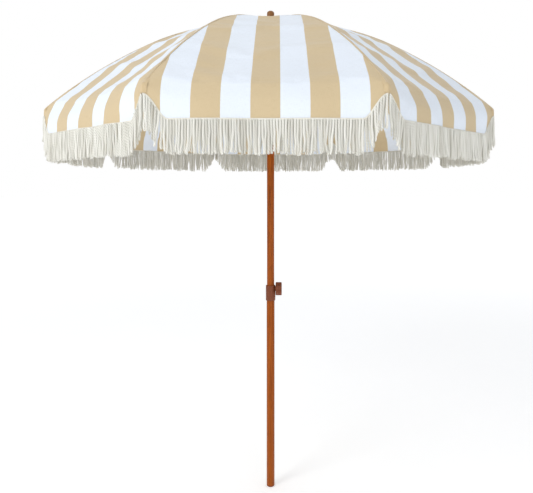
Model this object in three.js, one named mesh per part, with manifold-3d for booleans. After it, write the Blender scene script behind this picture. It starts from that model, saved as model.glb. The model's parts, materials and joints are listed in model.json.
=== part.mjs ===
// Fringed garden umbrella on a two-piece tubular pole, open.
// Millimetres, +Z up. Origin: centre of the flat underside of the pole's foot.
// The front gore faces -Y; the clamp knob and the runner catch face +X.
// Profiles of turned pieces are tables of [radius, height].
import * as THREE from "three";
import { mergeVertices } from "three/addons/utils/BufferGeometryUtils.js";
import Module from "manifold-3d";

const wasm = await Module();
wasm.setup();

// ---- driving dimensions (_R is a radius, _Z a height, _X a place along X) ----
const RIBS = 8; // steel ribs, and as many fabric gores
const HALF_GORE = Math.PI / RIBS; // half the angle between two ribs
const LOWER_R = 18.5; // lower pole, outside
const LOWER_BORE = 17.35;
const LOWER_FOOT = 6.3;
const LOWER_TOP = 904.5;
const UPPER_R = 17.0; // upper pole, outside
const UPPER_BORE = 15.8;
const UPPER_FOOT = 620.0; // inside the lower pole
const UPPER_TOP = 2157.6;
const SLEEVE_BORE = 17.35; // of the collar's top and the hub, round the upper pole
const FINIAL_TOP = 2226.0;
const PIVOT_R = 28.0; // rib and stretcher pivots: radius of both wire rings
const HUB_Z = 2158.0; // height of the rib pivots
const RUNNER_Z = 1746.0; // height of the stretcher pivots, umbrella open
const BAR_SIDE = 4.7; // stretchers lie beside the ribs, offset sideways by this
const RIB_TIP = [969.0, 1710.0]; // radius, height

// ---- materials ---------------------------------------------------------------
const paint = (settings) => new THREE.MeshStandardMaterial(settings);
const WOODTONE = paint({ color: 0x9c5426, roughness: 0.42, metalness: 0.1 });
const MOULDED = paint({ color: 0x8a4f38, roughness: 0.55, metalness: 0.0 });
const STEEL = paint({ color: 0xb9b7b2, roughness: 0.35, metalness: 0.9 });
const WHITE_STEEL = paint({ color: 0xe8e6df, roughness: 0.45, metalness: 0.3 });
const WHITE_PLASTIC = paint({ color: 0xe9e5da, roughness: 0.5, metalness: 0.0 });
const CANVAS = paint({ color: 0xe6dcc6, roughness: 0.85, metalness: 0.0 });
const COTTON = paint({ color: 0xe4e2d6, roughness: 0.95, metalness: 0.0 });
const FINIAL_BROWN = paint({ color: 0x9a6a45, roughness: 0.5, metalness: 0.0 });

const part = new THREE.Group();
function add(name, geometry, material, group = part) {
  const mesh = new THREE.Mesh(geometry, material);
  mesh.name = name;
  group.add(mesh);
}

// ---- booleans ------------------------------------------------------------------
function solid(geometry) {
  const bare = geometry.clone();
  bare.deleteAttribute("normal");
  bare.deleteAttribute("uv");
  const merged = mergeVertices(bare, 1e-3);
  return new wasm.Manifold(new wasm.Mesh({
    numProp: 3,
    vertProperties: new Float32Array(merged.attributes.position.array),
    triVerts: new Uint32Array(merged.index.array),
  }));
}
// Add geometries to a solid, or cut them from it, one after another.
const fuse = (body, ...pieces) => pieces.reduce((sum, piece) => sum.add(solid(piece)), body);
const cut = (body, ...tools) => tools.reduce((rest, tool) => rest.subtract(solid(tool)), body);

function toGeometry(body) {
  const mesh = body.getMesh();
  const geometry = new THREE.BufferGeometry();
  const positions = new Float32Array(mesh.vertProperties);
  geometry.setAttribute("position", new THREE.BufferAttribute(positions, 3));
  geometry.setIndex(new THREE.BufferAttribute(new Uint32Array(mesh.triVerts), 1));
  geometry.computeVertexNormals();
  return geometry;
}

// ---- basic shapes; spans are [from, to] ------------------------------------------
const middle = ([from, to]) => (from + to) / 2;
const extent = ([from, to]) => to - from;
const vectors = (points) => points.map(([x, y]) => new THREE.Vector2(x, y));

// A solid turned about Z: the profile runs from axis to axis, lower end first.
const turnedSolid = (profile, segments = 32) =>
  new THREE.LatheGeometry(vectors(profile), segments).rotateX(Math.PI / 2);
// A ring turned about Z: the profile is closed on itself.
const turnedRing = (profile, segments = 32) => turnedSolid([...profile, profile[0]], segments);
const tube = (inner, outer, bottom, top, segments) =>
  turnedRing([[inner, bottom], [outer, bottom], [outer, top], [inner, top]], segments);
const box = (spanX, spanY, spanZ) =>
  new THREE.BoxGeometry(extent(spanX), extent(spanY), extent(spanZ))
    .translate(middle(spanX), middle(spanY), middle(spanZ));
const rodY = (radius, span, [x, z], segments = 14) =>
  new THREE.CylinderGeometry(radius, radius, extent(span), segments)
    .translate(x, middle(span), z);
const rodZ = (radius, span, segments) =>
  new THREE.CylinderGeometry(radius, radius, extent(span), segments)
    .rotateX(Math.PI / 2).translate(0, 0, middle(span));

function polygon(points) {
  const shape = new THREE.Shape(vectors(points));
  shape.closePath();
  return shape;
}
// A flat plate drawn in the X-Z plane.
const plateXZ = (shape, spanY, curveSegments = 6) =>
  new THREE.ExtrudeGeometry(shape, { depth: extent(spanY), bevelEnabled: false, curveSegments })
    .rotateX(Math.PI / 2).translate(0, spanY[1], 0);

// ---- lower pole --------------------------------------------------------------------
const FOOT_PROFILE = [
  [0, 0], [15.5, 0], [LOWER_R, 2.5], [LOWER_R, 6], [17.0, 6], [17.0, 30], [16.2, 34], [0, 34],
];
add("foot_plug", turnedSolid(FOOT_PROFILE), MOULDED);
add("lower_pole", tube(LOWER_BORE, LOWER_R, LOWER_FOOT, LOWER_TOP, 40), WOODTONE);

// ---- pole clamp --------------------------------------------------------------------
const COLLAR_Z = [869.5, 940.0];
const COLLAR_R = 22.2;
const COLLAR_RIM_R = 21.2; // at the chamfered ends
const COLLAR_BORE = 18.8; // round the lower pole
const COLLAR_STEP = LOWER_TOP + 0.5; // where the collar's bore narrows
const KNOB_Z = 923.0; // height of the clamp screw
const KNOB_R = 31.0;
const KNOB_X = [23.6, 52.4];
const SCREW_R = 3.7;

// A rod along X on the clamp screw's axis.
const screwRod = (radius, span, segments = 20) =>
  new THREE.CylinderGeometry(radius, radius, extent(span), segments)
    .rotateZ(-Math.PI / 2).translate(middle(span), 0, KNOB_Z);

// A sleeve over the lower pole's top, with a boss for the screw.
function collarGeometry() {
  const [bottom, top] = COLLAR_Z;
  const chamfer = 2.5;
  const sleeve = turnedRing([
    [COLLAR_BORE, bottom], [COLLAR_RIM_R, bottom],
    [COLLAR_R, bottom + chamfer], [COLLAR_R, top - chamfer],
    [COLLAR_RIM_R, top], [SLEEVE_BORE, top],
    [SLEEVE_BORE, COLLAR_STEP], [COLLAR_BORE, COLLAR_STEP],
  ], 40);
  const boss = screwRod(11.0, [19.2, 27.4], 28);
  const web = box([18.0, 22.6], [-7, 7], [bottom + 14, top - 3]);
  const screwHole = screwRod(4.4, [10, 30]);
  const nutPocket = screwRod(7.6, [22, 30], 6);
  // Clear the boss and web out of both bores.
  const upperBore = rodZ(SLEEVE_BORE, [COLLAR_STEP, top + 4.5], 40);
  const lowerBore = rodZ(COLLAR_BORE, [bottom - 4, COLLAR_STEP], 40);
  const body = fuse(solid(sleeve), boss, web);
  return toGeometry(cut(body, screwHole, nutPocket, upperBore, lowerBore));
}

function nutGeometry() {
  const hexagon = screwRod(7.2, [22.3, 26.5], 6);
  return toGeometry(cut(solid(hexagon), screwRod(4.05, [21, 28])));
}

function screwGeometry() {
  const hexagon = screwRod(6.0, [29.6, 34.0], 6);
  return toGeometry(fuse(solid(screwRod(SCREW_R, [19.7, 44.0])), hexagon));
}

// Six rounded lobes, hollow round the boss, with a blind hole for the screw and its hexagon.
function knobGeometry() {
  const steps = 72;
  const lobes = 6;
  const lobeDepth = 7.6;
  const lobeSharpness = 0.85; // exponent: below 1 widens the valleys between lobes
  const bevel = 3.5;
  const back = KNOB_X[0] - 1; // cutters start behind the knob's inner face
  const outline = [];
  for (let i = 0; i <= steps; i++) {
    const angle = (i / steps) * 2 * Math.PI;
    const dip = (0.5 - 0.5 * Math.cos(lobes * angle)) ** lobeSharpness;
    const radius = KNOB_R - lobeDepth * dip;
    outline.push([radius * Math.cos(angle), radius * Math.sin(angle)]);
  }
  const body = new THREE.ExtrudeGeometry(new THREE.Shape(vectors(outline)), {
    depth: extent(KNOB_X) - 2 * bevel,
    bevelEnabled: true,
    bevelThickness: bevel,
    bevelSize: bevel,
    bevelOffset: -bevel,
    bevelSegments: 3,
  }).rotateY(Math.PI / 2).translate(KNOB_X[0] + bevel, 0, KNOB_Z);
  const screwHole = screwRod(4.0, [back, 44.4]);
  const hexagonSocket = screwRod(6.35, [26.85, 34.35], 6);
  const bossRecess = screwRod(12.8, [back, 29.2], 32);
  return toGeometry(cut(solid(body), screwHole, hexagonSocket, bossRecess));
}

add("clamp_collar", collarGeometry(), MOULDED);
add("clamp_nut", nutGeometry(), STEEL);
add("pressure_pad", screwRod(3.9, [LOWER_BORE, 19.3]), WHITE_PLASTIC);
add("clamp_screw", screwGeometry(), STEEL);
add("clamp_knob", knobGeometry(), MOULDED);

// ---- upper pole and runner catch -----------------------------------------------------
const CATCH_PIN = [6.0, 1602.0]; // x, z
const CATCH_TOP = 1664.0;
const CATCH_OUTLINE = [ // x, z
  [1.5, 1598], [10.5, 1598], [12.5, 1612], [22.0, CATCH_TOP - 12], [22.0, CATCH_TOP],
  [16.2, CATCH_TOP], [11.0, 1640], [7.0, 1618], [1.5, 1606],
];
const BUSH_PROFILE = [
  [0, 608], [16.2, 608], [17.1, 610], [17.1, 619.6],
  [15.4, 619.6], [15.4, 645], [14.6, 650], [0, 650],
];

// A tube with a slot for the catch and a cross hole for its pin.
function upperPoleGeometry() {
  const pole = solid(tube(UPPER_BORE, UPPER_R, UPPER_FOOT, UPPER_TOP, 40));
  const slot = box([8, 20], [-2.8, 2.8], [1594, CATCH_TOP + 4]);
  return toGeometry(cut(pole, slot, rodY(1.8, [-20, 20], CATCH_PIN)));
}

// A spring-steel finger that stands out of the pole under the runner.
function catchGeometry() {
  const finger = solid(plateXZ(polygon(CATCH_OUTLINE), [-2, 2]));
  return toGeometry(cut(finger, rodY(1.9, [-5, 5], CATCH_PIN)));
}

add("upper_pole", upperPoleGeometry(), WOODTONE);
add("guide_bush", turnedSolid(BUSH_PROFILE), WHITE_PLASTIC);
add("catch_pin", rodY(1.5, [-15.2, 15.2], CATCH_PIN), STEEL);
add("runner_catch", catchGeometry(), STEEL);

// ---- hub and runner: notched rings that carry the ribs and the stretchers ---------------
const WIRE_R = 1.2;
const GROOVE_HALF = 1.6; // half the width of the groove for a wire ring
const ribAngle = (i) => -Math.PI / 2 + HALF_GORE + i * 2 * HALF_GORE;

// One radial slot per rib, its centre offset sideways from the rib.
function notches(spanZ, offset, width) {
  const slots = [];
  for (let i = 0; i < RIBS; i++) {
    const spanY = [offset - width / 2, offset + width / 2];
    slots.push(box([21.2, 48], spanY, spanZ).rotateZ(ribAngle(i)));
  }
  const [first, ...others] = slots;
  return fuse(solid(first), ...others);
}
const wireGroove = (bottom, top) =>
  tube(PIVOT_R - GROOVE_HALF, PIVOT_R + GROOVE_HALF, bottom, top, 48);
const wireRing = (z) =>
  toGeometry(solid(new THREE.TorusGeometry(PIVOT_R, WIRE_R, 6, 32).translate(0, 0, z)));

function hubGeometry() {
  const bottom = HUB_Z - 16;
  const top = HUB_Z + 8;
  const ceiling = HUB_Z + 0.2; // above the upper pole's end
  const ring = turnedRing([
    [SLEEVE_BORE, bottom], [30, bottom], [35, bottom + 4], [36, bottom + 8], [36, top - 3],
    [33, top], [5.3, top], [5.3, ceiling], [SLEEVE_BORE, ceiling],
  ], 48);
  const notched = solid(ring).subtract(notches([bottom - 1, HUB_Z + 5.4], 0, 7.2));
  return toGeometry(cut(notched, wireGroove(bottom - 1, HUB_Z + GROOVE_HALF)));
}

function runnerGeometry() {
  const bore = 17.6;
  const bottom = 1665;
  const top = RUNNER_Z + 12;
  const ring = turnedRing([
    [bore, bottom], [23.5, bottom], [25.5, 1667], [25.5, 1671], [23.5, 1673.5],
    [20.6, 1674], [20.6, RUNNER_Z - 16], [30, RUNNER_Z - 12], [36, RUNNER_Z - 8],
    [36, RUNNER_Z + 10], [34, top], [bore, top],
  ], 48);
  const notched = solid(ring).subtract(notches([RUNNER_Z - 5.8, top + 1], BAR_SIDE, 4.2));
  return toGeometry(cut(notched, wireGroove(RUNNER_Z - GROOVE_HALF, top + 1)));
}

add("top_hub", hubGeometry(), WHITE_PLASTIC);
add("hub_wire", wireRing(HUB_Z), STEEL);
add("runner", runnerGeometry(), WHITE_PLASTIC);
add("runner_wire", wireRing(RUNNER_Z), STEEL);

// ---- finial, down through the washer and the fabric into the hub ------------------------
const FINIAL_PROFILE = [
  [0, HUB_Z + 2], [4.8, HUB_Z + 2], [4.8, HUB_Z + 15.4], [16.0, HUB_Z + 15.4],
  [17, HUB_Z + 18], [17, FINIAL_TOP - 10], [15, FINIAL_TOP - 4.5],
  [10.5, FINIAL_TOP - 0.8], [0, FINIAL_TOP],
];
add("canopy_washer", tube(5.6, 27, HUB_Z + 12.3, HUB_Z + 15, 40), WHITE_PLASTIC);
add("finial", turnedSolid(FINIAL_PROFILE), FINIAL_BROWN);

// ---- ribs and stretchers, each drawn with its rib along +X ------------------------------
const ROD_R = 2.8; // rib rod
const LUG_AT = 470.0; // radius at which the stretcher meets the rib
const LUG_DROP = 10.0; // stretcher pivot below the rib's centre line
const BAR_T = 3.0;
const BAR_PIVOT_R = 27.6; // stretcher pivot, where the wire ring passes BAR_SIDE to the side
const RIB_PIVOT = [PIVOT_R, HUB_Z];
const BAR_PIVOT = [BAR_PIVOT_R, RUNNER_Z];
// Rib centre line from beyond the pivot to the tip: radius, height.
const RIB_LINE = [
  [90, 2154], [150, 2147], [225, 2134.5], [300, 2116.5], [375, 2092], [450, 2063],
  [520, 2030.5], [580, 1997.5], [640, 1962], [700, 1923.5], [750, 1889.5], [800, 1853],
  [850, 1814], [900, 1772.5], [940, 1737], RIB_TIP,
];
const RIB_STEPS = 400;

const ribCurve = (start) => {
  const points = [start, ...RIB_LINE].map(([x, z]) => new THREE.Vector3(x, 0, z));
  return new THREE.CatmullRomCurve3(points, false, "centripetal");
};
const ribPoints = ribCurve(RIB_PIVOT).getSpacedPoints(RIB_STEPS);

function ribHeightAt(radius) {
  const i = ribPoints.findIndex((point) => point.x >= radius);
  const inner = ribPoints[i - 1];
  const outer = ribPoints[i];
  return inner.z + ((outer.z - inner.z) * (radius - inner.x)) / (outer.x - inner.x);
}
const LUG = [LUG_AT, ribHeightAt(LUG_AT) - LUG_DROP];

function octagon(radius) {
  const corners = [];
  for (let i = 0; i < 8; i++) {
    const angle = (i + 0.5) * (Math.PI / 4);
    corners.push([radius * Math.cos(angle), radius * Math.sin(angle)]);
  }
  return polygon(corners);
}

// Rounded below the stretcher pivot, with a sloping top edge inside the rod.
function lugShape() {
  const [x, z] = LUG;
  const radius = 5;
  const halfTop = 9;
  const rise = halfTop * 0.45; // follows the rib's slope
  const topZ = z + LUG_DROP + 1;
  const shape = new THREE.Shape();
  shape.moveTo(x - radius, z);
  shape.absarc(x, z, radius, Math.PI, 2 * Math.PI, false);
  shape.lineTo(x + halfTop, topZ - rise);
  shape.lineTo(x - halfTop, topZ + rise);
  shape.closePath();
  return shape;
}

function ribGeometry() {
  const rod = new THREE.ExtrudeGeometry(octagon(ROD_R), {
    steps: 14,
    bevelEnabled: false,
    extrudePath: ribCurve([31.0, HUB_Z - 0.1]), // starts beyond the pivot hole
  });
  let body = fuse(solid(rod), rodY(4.6, [-2.2, 2.2], RIB_PIVOT, 16));
  body = cut(body, rodY(1.75, [-4, 4], RIB_PIVOT, 12));
  body = fuse(body, plateXZ(lugShape(), [-2.4, 2.4]));
  body = cut(body, rodY(2.1, [-4, 4], LUG, 12));
  const tipBall = new THREE.SphereGeometry(3.6, 8, 6).translate(RIB_TIP[0], 0, RIB_TIP[1]);
  return toGeometry(fuse(body, tipBall));
}

// A flat bar with rounded ends, drawn level from its runner pivot.
function barShape(length) {
  const halfWidth = 3.6;
  const taper = 14; // from each pivot to the bar's parallel part
  const shape = new THREE.Shape();
  shape.absarc(0, 0, 4.8, Math.PI / 2, 1.5 * Math.PI, false);
  shape.lineTo(taper, -halfWidth);
  shape.lineTo(length - taper, -halfWidth);
  shape.absarc(length, 0, 5.2, -Math.PI / 2, Math.PI / 2, false);
  shape.lineTo(length - taper, halfWidth);
  shape.lineTo(taper, halfWidth);
  shape.closePath();
  return shape;
}

function stretcherGeometry() {
  const run = LUG[0] - BAR_PIVOT_R;
  const rise = LUG[1] - RUNNER_Z;
  const near = BAR_SIDE - BAR_T / 2; // face towards the rib
  const far = BAR_SIDE + BAR_T / 2;
  const bar = plateXZ(barShape(Math.hypot(run, rise)), [near, far], 5)
    .rotateY(-Math.atan2(rise, run)).translate(BAR_PIVOT_R, 0, RUNNER_Z);
  const drilled = cut(solid(bar), rodY(1.95, [0, 10], BAR_PIVOT, 12));
  const stud = rodY(2.0, [near - 0.3, near + 1], LUG, 12);
  const head = rodY(4.0, [far - 1, far + 1.5], LUG, 14);
  return toGeometry(fuse(drilled, stud, head));
}

// ---- canopy gores -----------------------------------------------------------------------
const FABRIC_T = 1.0;
const FABRIC_UP = 4.2; // fabric's middle surface above the rib's centre line
const SEAM_GAP = 0.3; // from each gore's edge to the rib's plane
const GORE_COLUMNS = [-1, -0.5, 0, 0.5, 1]; // fractions of the half width
// Fractions of the rib's length at which the gore has a row.
const GORE_ROWS = [0.115, 0.19, 0.27, 0.35, 0.43, 0.51, 0.59, 0.67, 0.75, 0.83, 0.91, 1.0];

// The middle surface over a rib: flat over the hub, then the rib line lifted along its normal.
const meridian = [[19.5, HUB_Z + 9.4], [37, HUB_Z + 9.2]];
for (const fraction of GORE_ROWS) {
  const i = Math.round(fraction * RIB_STEPS);
  const { x, z } = ribPoints[i];
  const before = ribPoints[i - 1];
  const along = new THREE.Vector2(x - before.x, z - before.z).normalize();
  meridian.push([x - along.y * FABRIC_UP, z + along.x * FABRIC_UP]);
}

// A closed sheet from a grid of { point, normal }, thickened to both sides of the grid.
function sheet(grid, thickness) {
  const rows = grid.length;
  const columns = grid[0].length;
  const positions = [];
  const index = [];
  for (const side of [0.5, -0.5])
    for (const { point, normal } of grid.flat())
      positions.push(...point.clone().addScaledVector(normal, side * thickness).toArray());
  const vertex = (layer, i, j) => (layer * rows + i) * columns + j;
  for (let i = 0; i < rows - 1; i++)
    for (let j = 0; j < columns - 1; j++) {
      const [a, b, c, d] = [[i, j], [i + 1, j], [i + 1, j + 1], [i, j + 1]];
      for (const [p, q, r] of [[a, b, c], [a, c, d]])
        index.push(vertex(0, ...p), vertex(0, ...q), vertex(0, ...r));
      for (const [p, q, r] of [[a, c, b], [a, d, c]])
        index.push(vertex(1, ...p), vertex(1, ...q), vertex(1, ...r));
    }
  // Close the edge all the way round.
  const border = [];
  for (let i = 0; i < rows - 1; i++) border.push([i, 0]);
  for (let j = 0; j < columns - 1; j++) border.push([rows - 1, j]);
  for (let i = rows - 1; i > 0; i--) border.push([i, columns - 1]);
  for (let j = columns - 1; j > 0; j--) border.push([0, j]);
  border.forEach((here, k) => {
    const next = border[(k + 1) % border.length];
    index.push(vertex(0, ...next), vertex(0, ...here), vertex(1, ...here));
    index.push(vertex(0, ...next), vertex(1, ...here), vertex(1, ...next));
  });
  const geometry = new THREE.BufferGeometry();
  geometry.setAttribute("position", new THREE.BufferAttribute(new Float32Array(positions), 3));
  geometry.setIndex(index);
  geometry.computeVertexNormals();
  return geometry;
}

// One gore, in its own frame: X outwards along its middle, Y across, edges over the two ribs.
function goreGeometry() {
  const grid = meridian.map(([radius, z], i) => {
    const before = meridian[Math.max(0, i - 1)];
    const after = meridian[Math.min(meridian.length - 1, i + 1)];
    const along = new THREE.Vector2(after[0] - before[0], after[1] - before[1]).normalize();
    const normal = new THREE.Vector3(-along.y, 0, along.x);
    const edge = radius * Math.sin(HALF_GORE) - SEAM_GAP / Math.cos(HALF_GORE);
    const x = radius * Math.cos(HALF_GORE);
    return GORE_COLUMNS.map((f) => ({ point: new THREE.Vector3(x, f * edge, z), normal }));
  });
  return sheet(grid, FABRIC_T);
}

// ---- valance and fringe: flat strips hanging between two rib tips -------------------------
const CHORD_Z = 1712.0; // top of the valance
const VALANCE_X = 900.6; // inner face of the valance, from the pole's axis
const HEM_Z = 1606.0; // straight part of the valance's hem
const CUSP_Z = 1682.0; // hem height at a rib tip
const CUSP_FROM = 0.8; // fraction of the half width where the hem starts to rise
const FRINGE_L = 116.0; // length of the fringe below the hem
const STRIP_HALF = VALANCE_X * Math.tan(HALF_GORE) - 1.3; // half width
// Places across a strip, as fractions of its half width.
const HEM_STATIONS = [
  -1, -0.975, -0.95, -0.925, -0.9, -0.875, -0.85, -0.82, -0.78,
  0.78, 0.82, 0.85, 0.875, 0.9, 0.925, 0.95, 0.975, 1,
];

function hem(station) {
  const k = Math.max(0, (Math.abs(station) - CUSP_FROM) / (1 - CUSP_FROM));
  return HEM_Z + (CUSP_Z - HEM_Z) * (k * k * (3 - 2 * k)) ** 0.9;
}

// Drawn as across-by-height, then stood up facing outwards.
function strip(topStations, top, bottom, spanX) {
  const shape = polygon([
    ...HEM_STATIONS.map((station) => [station * STRIP_HALF, bottom(station)]),
    ...topStations.map((station) => [station * STRIP_HALF, top(station)]),
  ]);
  return new THREE.ExtrudeGeometry(shape, { depth: extent(spanX), bevelEnabled: false })
    .rotateX(Math.PI / 2).rotateZ(Math.PI / 2).translate(spanX[0], 0, 0);
}
const valanceGeometry = () => strip([1, -1], () => CHORD_Z, hem, [VALANCE_X, VALANCE_X + 1.6]);
const fringeGeometry = () => strip(
  [...HEM_STATIONS].reverse(),
  (station) => hem(station) - 0.4,
  (station) => hem(station) - FRINGE_L,
  [VALANCE_X - 1.2, VALANCE_X + 2.8],
);

// ---- ribs and gores round the pole ---------------------------------------------------------
const RIB_PIECES = [
  ["rib", ribGeometry(), WHITE_STEEL],
  ["stretcher", stretcherGeometry(), WHITE_STEEL],
];
const GORE_PIECES = [
  ["canopy_gore", goreGeometry(), CANVAS],
  ["valance", valanceGeometry(), CANVAS],
  ["fringe", fringeGeometry(), COTTON],
];
function addSector(pieces, angle, number) {
  const group = new THREE.Group();
  group.rotation.z = angle;
  for (const [name, geometry, material] of pieces)
    add(`${name}_${number}`, geometry, material, group);
  part.add(group);
}
// Each gore lies between the previous rib (at -Y in the gore's frame) and its own (at +Y).
for (let i = 0; i < RIBS; i++) {
  addSector(RIB_PIECES, ribAngle(i), i + 1);
  addSector(GORE_PIECES, -Math.PI / 2 + i * 2 * HALF_GORE, i + 1);
}

export default part;
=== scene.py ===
# An octagonal garden umbrella: striped canvas gores, a hanging valance and a corded fringe, built
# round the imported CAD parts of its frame. Metres, +Z up, the pole's axis on Z. Gore 1 faces -Y and
# the others follow anticlockwise seen from above. Cloth is shaped in a gore's own frame (x outwards
# through its middle, y across, z up) and then turned into place.
import json
import math

import bpy
import numpy as np
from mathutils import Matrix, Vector


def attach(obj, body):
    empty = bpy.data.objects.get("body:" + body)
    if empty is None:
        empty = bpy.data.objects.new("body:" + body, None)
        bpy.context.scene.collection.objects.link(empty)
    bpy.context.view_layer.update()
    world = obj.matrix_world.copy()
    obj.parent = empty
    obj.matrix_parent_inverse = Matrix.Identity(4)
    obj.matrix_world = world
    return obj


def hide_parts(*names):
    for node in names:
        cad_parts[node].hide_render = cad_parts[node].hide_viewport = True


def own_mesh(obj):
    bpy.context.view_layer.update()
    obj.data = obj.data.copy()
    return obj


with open("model.json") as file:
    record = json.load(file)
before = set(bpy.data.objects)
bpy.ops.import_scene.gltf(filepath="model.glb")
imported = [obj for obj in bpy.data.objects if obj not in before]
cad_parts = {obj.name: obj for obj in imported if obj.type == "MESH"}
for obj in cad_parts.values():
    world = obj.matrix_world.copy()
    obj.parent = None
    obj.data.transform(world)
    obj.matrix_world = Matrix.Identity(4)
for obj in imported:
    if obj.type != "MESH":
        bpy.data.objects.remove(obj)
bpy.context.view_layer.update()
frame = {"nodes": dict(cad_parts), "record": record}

# ---- driving dimensions --------------------------------------------------------------------
GORES = 8
HALF_ANGLE = math.pi / GORES
SIN_HALF, COS_HALF, TAN_HALF = math.sin(HALF_ANGLE), math.cos(HALF_ANGLE), math.tan(HALF_ANGLE)

# centre line of an open rib, millimetres: radius, height
RIB_LINE = [
    (28, 2158), (90, 2154), (150, 2147), (225, 2134.5), (300, 2116.5), (375, 2092),
    (450, 2063), (520, 2030.5), (580, 1997.5), (640, 1962), (700, 1923.5), (750, 1889.5),
    (800, 1853), (850, 1814), (900, 1772.5), (940, 1737), (969, 1710),
]
PIVOT_R, HUB_Z = RIB_LINE[0][0] / 1000, RIB_LINE[0][1] / 1000
FABRIC_UP = 0.0042  # cloth above the rib's centre line
# the cloth's nearly flat line over the hub: radius, height above HUB_Z
HUB_CLOTH = [(0.0195, 0.0095), (0.030, 0.0096), (0.040, 0.0092), (0.062, 0.0072)]
HUB_SAMPLES = 60  # samples of the rib curve that HUB_CLOTH stands in for
CLOTH_THICK = 0.0006
EDGE_GAP = 0.00035  # between a gore's edge and the rib's plane

HALF_CHORD = 0.3717  # half the width of a gore at the rim
CHORD_Z = 1.712  # nominal top of the valance
HEM_Z, CUSP_Z = 1.606, 1.682  # the hem along a gore, and where it rises at the ribs
VALANCE_U = 0.9010  # how far out the valance hangs
CORNER_U, CORNER_Z = 0.8983, 1.7128  # where gore and valance would meet in a crisp fold
ROUND = 0.085  # reach of the fold's rounding from that corner, at the middle of a gore
STRIPE = 0.0909

# each gore is made of the strips between these cuts
CUTS = [-HALF_CHORD, -0.2272, -0.0758, 0.0758, 0.2272, HALF_CHORD]
PLEAT_DEPTH = [0.0, 0.026, -0.012, -0.012, 0.026, 0.0]  # outwards at each cut when folded
STRIPS = list(zip(CUTS, CUTS[1:]))
MIDDLE_STRIP = 2


# ---- the rib's curve and the cloth's line over it ------------------------------------------
def rib_curve(samples=900):
    """A natural cubic spline through RIB_LINE: radii and heights in metres."""
    radius, height = np.array(RIB_LINE, float).T / 1000
    count = len(radius)
    gap = np.diff(radius)
    system = np.zeros((count, count))
    right = np.zeros(count)
    system[0, 0] = system[-1, -1] = 1
    for i in range(1, count - 1):
        system[i, i - 1] = gap[i - 1]
        system[i, i] = 2 * (gap[i - 1] + gap[i])
        system[i, i + 1] = gap[i]
        slope_before = (height[i] - height[i - 1]) / gap[i - 1]
        slope_after = (height[i + 1] - height[i]) / gap[i]
        right[i] = 6 * (slope_after - slope_before)
    bend = np.linalg.solve(system, right)
    sample_r = np.linspace(radius[0], radius[-1], samples)
    sample_z = []
    for x in sample_r:
        i = min(count - 2, max(0, np.searchsorted(radius, x) - 1))
        ahead, behind = radius[i + 1] - x, x - radius[i]
        cubic = (bend[i] * ahead**3 + bend[i + 1] * behind**3) / (6 * gap[i])
        from_start = (height[i] / gap[i] - bend[i] * gap[i] / 6) * ahead
        from_end = (height[i + 1] / gap[i] - bend[i + 1] * gap[i] / 6) * behind
        sample_z.append(cubic + from_start + from_end)
    return sample_r, np.array(sample_z)


def outward_normals(radius, height):
    """Radius and height parts of the unit normals on the upper side of a line."""
    along = np.gradient(np.stack([radius, height], 1), axis=0)
    along /= np.linalg.norm(along, axis=1)[:, None]
    return -along[:, 1], along[:, 0]


RIB_R, RIB_Z = rib_curve()
rib_normal_r, rib_normal_z = outward_normals(RIB_R, RIB_Z)
hub_r, hub_up = np.array(HUB_CLOTH).T
FABRIC_R = np.concatenate([hub_r, (RIB_R + rib_normal_r * FABRIC_UP)[HUB_SAMPLES:]])
FABRIC_Z = np.concatenate([HUB_Z + hub_up, (RIB_Z + rib_normal_z * FABRIC_UP)[HUB_SAMPLES:]])
FABRIC_ALONG = np.concatenate([[0], np.cumsum(np.hypot(np.diff(FABRIC_R), np.diff(FABRIC_Z)))])
FABRIC_LEN = FABRIC_ALONG[-1]


def fabric_at(share):
    """Radius and height of the cloth over a rib, at a share of its length from the hub."""
    along = share * FABRIC_LEN
    return np.interp(along, FABRIC_ALONG, FABRIC_R), np.interp(along, FABRIC_ALONG, FABRIC_Z)


def smoothstep(k):
    return k * k * (3 - 2 * k)


def hem_z(v):
    """Height of the hem at v across: level, then rising over the last fifth towards the rib."""
    rise = max(0.0, (abs(v) / HALF_CHORD - 0.8) / 0.2)
    return HEM_Z + (CUSP_Z - HEM_Z) * smoothstep(rise) ** 0.9


# ---- material helpers ----------------------------------------------------------------------
WHITE, BLACK = (1, 1, 1, 1), (0, 0, 0, 1)


def srgb(red, green, blue):
    """Linear colour from 0 to 255 display values."""
    linear = []
    for value in (red, green, blue):
        c = value / 255
        linear.append(c / 12.92 if c <= 0.04045 else ((c + 0.055) / 1.055) ** 2.4)
    return tuple(linear) + (1.0,)


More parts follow.
